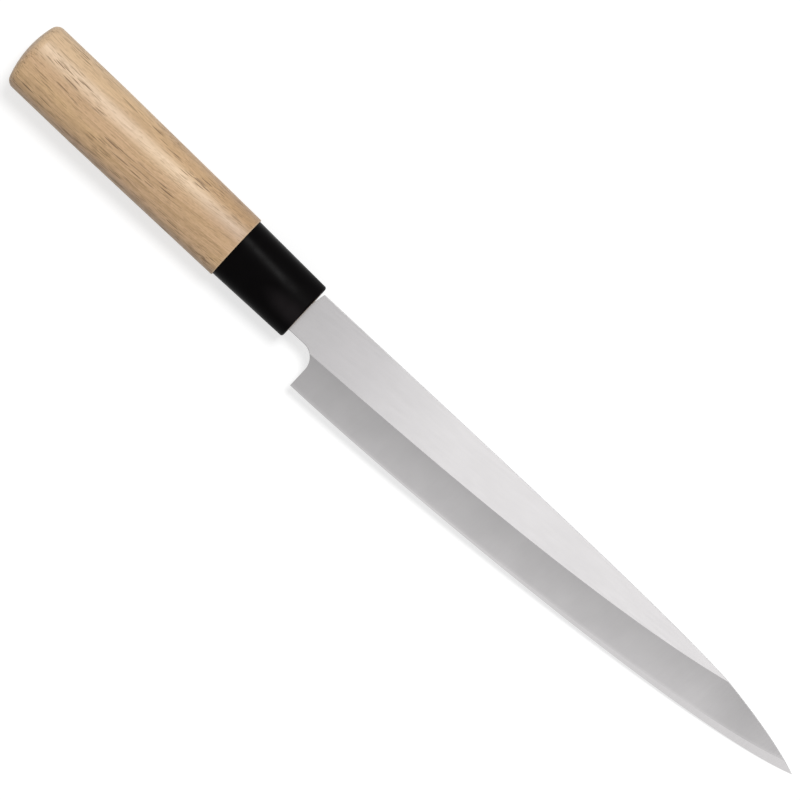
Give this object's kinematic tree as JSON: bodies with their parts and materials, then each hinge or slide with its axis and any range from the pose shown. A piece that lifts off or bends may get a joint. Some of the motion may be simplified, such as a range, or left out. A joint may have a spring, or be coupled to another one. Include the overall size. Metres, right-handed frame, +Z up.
{
  "type": "yanagiba knife",
  "caption": "Slim single-bevelled slicing knife with a flat back ground hollow, a black collar and an oval wooden handle with a soft ridge.",
  "frame": {"origin": "middle of the knife's outline, on the surface that it lies on", "axes": "+X along the knife to the tip, +Y to the spine, +Z up, out of the bevelled face. The knife lies on its back, tipped nose down by about two degrees, on the wood's lower edge at the collar and the tip."},
  "size_m": [0.3482, 0.0352, 0.0245],
  "materials": {
    "blade_steel": "satin, ground across the bevels, with plain flats",
    "black_collar": "polished black",
    "pale_wood": "sanded, unvarnished, with fine dark pores along the grain"
  },
  "bodies": {
    "root": {"blade": "blade_steel", "ferrule": "black_collar", "handle": "pale_wood"}
  },
  "joints": []
}
